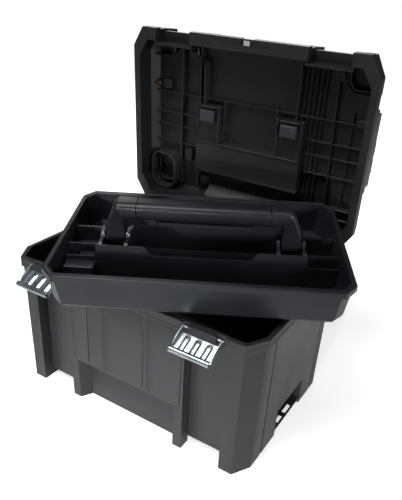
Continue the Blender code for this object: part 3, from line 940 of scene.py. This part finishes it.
    def boss(self) -> list[Surface]:
        """The two nested octagon walls of the rear left corner, each a profile carried round its outline.

        Returns:
            The outer wall, then the lower inner one.
        """
        walls = []
        for half_x, half_y, rise in ((0.0265, 0.0335, 0.027), (0.0175, 0.0240, 0.011)):
            corners = octagon(half_x, half_y, half_x * 0.45, half_x * 0.5)
            path = rounded(np.column_stack([corners, np.zeros(8)]), 0.004, 4)
            wall = np.array([(0.0016, 0.0), (0.0016, rise - 0.0012), (0.0008, rise),
                             (-0.0008, rise), (-0.0016, rise - 0.0012), (-0.0016, 0.0)])
            walls.append(swept(path, wall, UP, True).placed(on_ceiling(-0.1745, 0.1025)))
        return walls

    def blocks(self) -> Surface:
        """The hollow corner boss, the small bosses, the corner ribs and the wedge along the back.

        Returns:
            All of them as one surface.
        """
        parts = self.boss()
        parts += [
            self.bent((-0.199, -0.106), (-0.168, -0.106), (-0.160, -0.114), (-0.160, -0.129),
                      rise=0.012, width=0.003),
            self.bent((0.163, -0.129), (0.163, -0.108), (0.172, -0.096), (0.199, -0.096),
                      rise=0.014, width=0.004),
            self.bent((0.157, -0.129), (0.157, -0.104), (0.169, -0.090), (0.199, -0.090),
                      rise=0.008, width=0.002),
            self.pad(0.140, -0.120, 0.154, -0.104, 0.010, 0.006),
            self.pad(-0.186, -0.064, -0.168, -0.048, 0.010),
            self.pad(0.184, -0.052, 0.199, -0.040, 0.012, 0.003),
            self.pad(-0.130, -0.118, -0.110, -0.108, 0.010, 0.003),
            self.pad(-0.134, 0.056, -0.118, 0.078, 0.011),
            self.pad(-0.098, 0.100, -0.084, 0.116, 0.012),
            self.pad(0.160, 0.100, 0.196, 0.104, 0.014, self.sharp),
            self.pad(0.150, 0.118, 0.196, 0.122, 0.012, self.sharp),
        ]
        wedge = np.array([(0.016, 0.0), (0.016, 0.004), (0.0, 0.024), (0.0, 0.0)])
        along = np.array([(-0.080, -0.133, 0.0), (0.060, -0.133, 0.0)])
        parts.append(swept(along, wedge, UP, False).placed(on_ceiling()))
        return Surface.joined(parts)

    def tab_lines(self) -> Surface:
        """Two raised lines on the edge of the front tab, one at each side of its middle.

        Returns:
            Both lines as one surface.
        """
        face = LID @ shift(0.0, 0.0, LID_RIM) @ turn("X", 180.0)
        parts = []
        for side in (-1, 1):
            plan = ((0.082, 0.1525), (0.074, 0.1525), (0.052, 0.1405), (0.004, 0.1395))
            points = np.array([(side * x, y, 0.0) for x, y in plan])
            dense = np.concatenate([points[:1], self.curve(points, 0.003), points[-1:]])
            bead = np.array([(0.0010, 0.0), (0.0006, 0.0002), (-0.0006, 0.0002), (-0.0010, 0.0)])
            parts.append(swept(dense, bead, UP, False).placed(face))
        return Surface.joined(parts)

    def build(self) -> None:
        """Builds the lid."""
        skin("lid_shell", self.finish, Softening(0.0011, 3))
        add_piece("lid_ribs", self.ribs(), "lid", self.finish)
        add_piece("lid_centre_walls", self.centre_panel(), "lid", self.finish)
        add_piece("lid_housings", self.housings(), "lid", self.finish)
        add_piece("lid_blocks", self.blocks(), "lid", self.finish)
        add_piece("lid_flange_lines", self.tab_lines(), "lid", self.finish)
        skin("lid_handle", Finish.satin_plastic, Softening(0.0020, 3))
        skin("brass_rivet", Finish.brass, Softening(0.0004))
        for side in ("left", "right"):
            skin(f"lid_handle_retainer_{side}", Finish.grey_plastic, Softening(0.0014, 3))
            skin(f"lid_handle_pin_{side}", Finish.zinc_steel, PIN_EDGE)
            skin(f"side_clip_pin_{side}", Finish.zinc_steel, PIN_EDGE)
            skin(f"side_clip_{side}", Finish.satin_plastic, Softening(0.0008, 3))


@dataclass
class Tray:
    """The lift-out tray: its skin, rim bead, shelves, handle, pivot pins and their caps."""

    half_x: float = 0.205
    half_y: float = 0.1375
    grip_half: float = 0.0955
    grip_low: float = 0.024
    grip_high: float = 0.050
    grip_half_y: float = 0.018
    pivot_z: float = -0.004
    caps: tuple[float, float] = (0.1069, 0.1491)  # the outer faces of the walls beside each arm
    shelf_floor: float = -0.0515

    def rim(self) -> Surface:
        """The rolled rim: an ellipse carried round the octagon on the rim's outer edge.

        Returns:
            The closed rim in the world.
        """
        corners = octagon(self.half_x - 0.0024, self.half_y - 0.0030, 0.016, 0.021)
        path = rounded(np.column_stack([corners, np.full(8, -0.0022)]), 0.008, 8)
        return swept(path, ring(0.0026, 0.0028, 16), UP, True).placed(TRAY)

    def grip(self) -> Surface:
        """The grip's sleeve, as a function of x along it and angle a round it.

        Each section is the superellipse y = b c^n, z = h s^n with n = 0.62 from a centre line, where c and
        s are cos a and sin a with their signs kept. Both half sizes shrink near each end as
        1 - k (1 - sqrt(1 - t^2)), t running from 0 to 1 over the last 1.6 mm.

        Returns:
            The closed sleeve in the world.
        """
        x = self.grip_half * np.sin(np.linspace(-math.pi / 2, math.pi / 2, 91))
        t = np.clip((np.abs(x) - (self.grip_half - 0.0016)) / 0.0016, 0.0, 1.0)
        size = 1.0 - 0.07 * (1.0 - np.sqrt(1.0 - t**2))
        a = np.linspace(0.0, 2 * math.pi, 48, endpoint=False)
        across, upward = self.superellipse(a, 0.62)
        middle, half_z = (self.grip_low + self.grip_high) / 2, (self.grip_high - self.grip_low) / 2
        points = np.empty((x.size, a.size, 3))
        points[..., 0] = x[:, None]
        points[..., 1] = self.grip_half_y * size[:, None] * across
        points[..., 2] = middle + half_z * size[:, None] * upward
        return Surface.grid(points, False, True, True).placed(TRAY)

    @staticmethod
    def superellipse(a: np.ndarray, n: float | np.ndarray) -> tuple[np.ndarray, np.ndarray]:
        """The two coordinates |cos a|^n and |sin a|^n with the signs of cos a and sin a."""
        cosine, sine = np.cos(a), np.sin(a)
        return np.sign(cosine) * np.abs(cosine) ** n, np.sign(sine) * np.abs(sine) ** n

    def arm(self) -> Surface:
        """The right arm of the handle, as a function of s along it and angle a round it.

        An inner outline I(s) runs from the foot up to the bar's underside and an outer outline O(s) from
        the foot over the shoulder to the bar's top. Section s is the superellipse whose one axis joins
        I(s) to O(s) and whose other axis is the half width b(s), full at the bar and narrower at the foot.

        Returns:
            The closed arm in the tray's frame.
        """
        steps = np.linspace(0.0, 1.0, 61)
        inner = np.array([(0.113, -0.010), (0.113, 0.006), (0.113, 0.018), (0.1125, 0.0222),
                          (0.1095, self.grip_low), (0.0960, self.grip_low)])
        outer = np.array([(0.143, -0.010), (0.142, 0.012), (0.1350, 0.0300), (0.1285, 0.0455),
                          (0.1235, self.grip_high), (0.0960, self.grip_high)])
        knots = np.linspace(0.0, 1.0, len(inner))
        low = np.stack([np.interp(steps, knots, inner[:, i]) for i in (0, 1)], 1)
        high = np.stack([np.interp(steps, knots, outer[:, i]) for i in (0, 1)], 1)
        a = np.linspace(2 * math.pi, 0.0, 40, endpoint=False)
        power = np.interp(steps, (0.0, 0.5, 1.0), (0.30, 0.36, 0.60))[:, None]
        across, outward = self.superellipse(a, power)
        width = np.interp(steps, (0.0, 0.3, 0.7, 1.0), (0.0135, 0.0150, 0.0180, 0.0182))
        points = np.empty((steps.size, a.size, 3))
        middle, half = (low + high) / 2, (high - low) / 2
        points[..., 0] = middle[:, :1] + half[:, :1] * outward
        points[..., 2] = middle[:, 1:] + half[:, 1:] * outward
        points[..., 1] = width[:, None] * across
        return Surface.grid(points, False, True, True)

    def shelves(self) -> Surface:
        """The stepped shelf at the tray's left end, as blocks with rounded tops.

        Returns:
            Both steps in the world.
        """
        steps = ((-0.193, -0.068, -0.150, -0.0475, 0.0255), (-0.176, -0.0455, -0.150, -0.028, 0.0290))
        parts = []
        for *plan, rise in steps:
            step = moulding(box_corners(*plan), rise, 0.002, 0.0012)
            parts.append(step.placed(shift(0.0, 0.0, self.shelf_floor)).placed(TRAY))
        return Surface.joined(parts)

    def pivot_caps(self) -> Surface:
        """The low round caps over the pivot pins' ends, two at each arm.

        Returns:
            All four in the world.
        """
        cap = turned(np.array([(0.0036, 0.0), (0.0036, 0.0004), (0.0032, 0.0008), (0.0010, 0.0010)]), 24)
        caps = []
        for x, facing in ((self.caps[0], -90.0), (self.caps[1], 90.0)):
            capped = cap.placed(shift(x, 0.0, self.pivot_z) @ turn("Y", facing))
            caps += [capped.placed(TRAY), capped.mirrored().placed(TRAY)]
        return Surface.joined(caps)

    def build(self) -> None:
        """Builds the tray."""
        skin("tray_shell", Finish.satin_plastic, Softening(0.0012, 3))
        add_piece("tray_rim", self.rim(), "tray", Finish.satin_plastic)
        arm = self.arm()
        arms = Surface.joined([arm.placed(TRAY), arm.mirrored().placed(TRAY)])
        made = add_piece("tray_handle_arms", arms, "tray_handle", Finish.satin_plastic, None, 60.0)
        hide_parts("tray_handle")
        grip = add_piece("tray_grip", self.grip(), "tray_handle", Finish.satin_plastic, None, 60.0)
        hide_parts("tray_handle_grip")
        for side in ("left", "right"):
            skin(f"tray_handle_pin_{side}", Finish.zinc_steel, PIN_EDGE)
        add_piece("tray_pivot_caps", self.pivot_caps(), "tray", Finish.satin_plastic)
        add_piece("tray_shelves", self.shelves(), "tray", Finish.satin_plastic)


@dataclass
class Studio:
    """Floor, lights and camera."""

    floor_half: float = 6.0
    sky: float = 0.04
    target: tuple[float, float, float] = (0.034, 0.0, 0.200)
    distance: float = 0.9157
    azimuth: float = 30.8
    elevation: float = 29.4
    roll: float = -3.4
    sensor_mm: float = 24.0  # the sensor's height
    lens_mm: float = 27.1392
    lens_shift: tuple[float, float] = (0.006, 0.0646)

    def floor(self) -> None:
        """Lays the pale floor."""
        half = self.floor_half
        mesh = bpy.data.meshes.new("floor")
        corners = [(-half, -half, 0), (half, -half, 0), (half, half, 0), (-half, half, 0)]
        mesh.from_pydata(corners, [], [(0, 1, 2, 3)])
        mesh.materials.append(Paper().material())
        obj = bpy.data.objects.new("floor", mesh)
        bpy.context.scene.collection.objects.link(obj)

    def light(self, name: str, place: tuple, aim: tuple, size: float, power: float,
              spread: float = 180.0) -> None:
        """Hangs one square soft light.

        Args:
            name: Its name.
            place: Where it hangs.
            aim: What it points at.
            size: Its side.
            power: In watts.
            spread: Angle of its beam, in degrees.
        """
        lamp = bpy.data.lights.new(name, "AREA")
        lamp.energy, lamp.size, lamp.spread = power, size, math.radians(spread)
        obj = bpy.data.objects.new(name, lamp)
        obj.location = place
        away = Vector(place) - Vector(aim)
        obj.rotation_euler = away.to_track_quat("Z", "Y").to_euler()
        bpy.context.scene.collection.objects.link(obj)

    def lights(self) -> None:
        """Lights the scene softly from all round, strongest from above.

        The sky is white to camera rays and dim to all others.
        """
        world = bpy.data.worlds.new("studio")
        world.use_nodes = True
        nodes, links = world.node_tree.nodes, world.node_tree.links
        dim, white = nodes["Background"], nodes.new("ShaderNodeBackground")
        for background, strength in ((dim, self.sky), (white, 1.0)):
            background.inputs["Color"].default_value = (1.0, 1.0, 1.0, 1.0)
            background.inputs["Strength"].default_value = strength
        seen, either = nodes.new("ShaderNodeLightPath"), nodes.new("ShaderNodeMixShader")
        links.new(seen.outputs["Is Camera Ray"], either.inputs["Fac"])
        links.new(dim.outputs["Background"], either.inputs[1])
        links.new(white.outputs["Background"], either.inputs[2])
        links.new(either.outputs["Shader"], nodes["World Output"].inputs["Surface"])
        bpy.context.scene.world = world
        self.light("top", (-0.3, -0.75, 2.0), (0.0, 0.0, 0.3), 1.0, 38.0)
        self.light("back", (-1.1, 2.0, 1.35), (0.0, 0.0, 0.25), 1.5, 16.0)
        self.light("front", (0.35, -2.2, 0.30), (0.0, -0.1, 0.04), 0.4, 1.5, 16.0)
        self.light("right", (2.0, -0.5, 0.5), (0.1, 0.0, 0.1), 0.8, 2.6, 40.0)
        bpy.context.scene.view_settings.view_transform = "Standard"

    def camera(self) -> None:
        """Stands the camera by azimuth, elevation and distance from its target.

        Its axes are back = (sin a cos e, -cos a cos e, sin e), right = (cos a, sin a, 0) and
        up = back x right, the last two then turned by the roll.
        """
        a, e, r = (math.radians(value) for value in (self.azimuth, self.elevation, self.roll))
        back = np.array((math.sin(a) * math.cos(e), -math.cos(a) * math.cos(e), math.sin(e)))
        right = np.array((math.cos(a), math.sin(a), 0.0))
        up = np.cross(back, right)
        right, up = math.cos(r) * right - math.sin(r) * up, math.sin(r) * right + math.cos(r) * up
        matrix = np.eye(4)
        matrix[:3, 0], matrix[:3, 1], matrix[:3, 2] = right, up, back
        matrix[:3, 3] = np.array(self.target) + self.distance * back
        data = bpy.data.cameras.new("camera")
        data.sensor_fit, data.sensor_height = "VERTICAL", self.sensor_mm
        data.lens = self.lens_mm
        data.shift_x, data.shift_y = self.lens_shift
        data.clip_start = 0.05
        obj = bpy.data.objects.new("camera", data)
        obj.matrix_world = Matrix(matrix.tolist())
        bpy.context.scene.collection.objects.link(obj)
        bpy.context.scene.camera = obj


def main() -> None:
    """Builds the toolbox's looks, then the studio."""
    logging.basicConfig(level=logging.INFO, format="%(name)s %(message)s")
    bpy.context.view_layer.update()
    for assembly in (Box(), Latches(), Lid(), Tray()):
        assembly.build()
    studio = Studio()
    studio.floor()
    studio.lights()
    studio.camera()


if __name__ == "__main__":
    main()
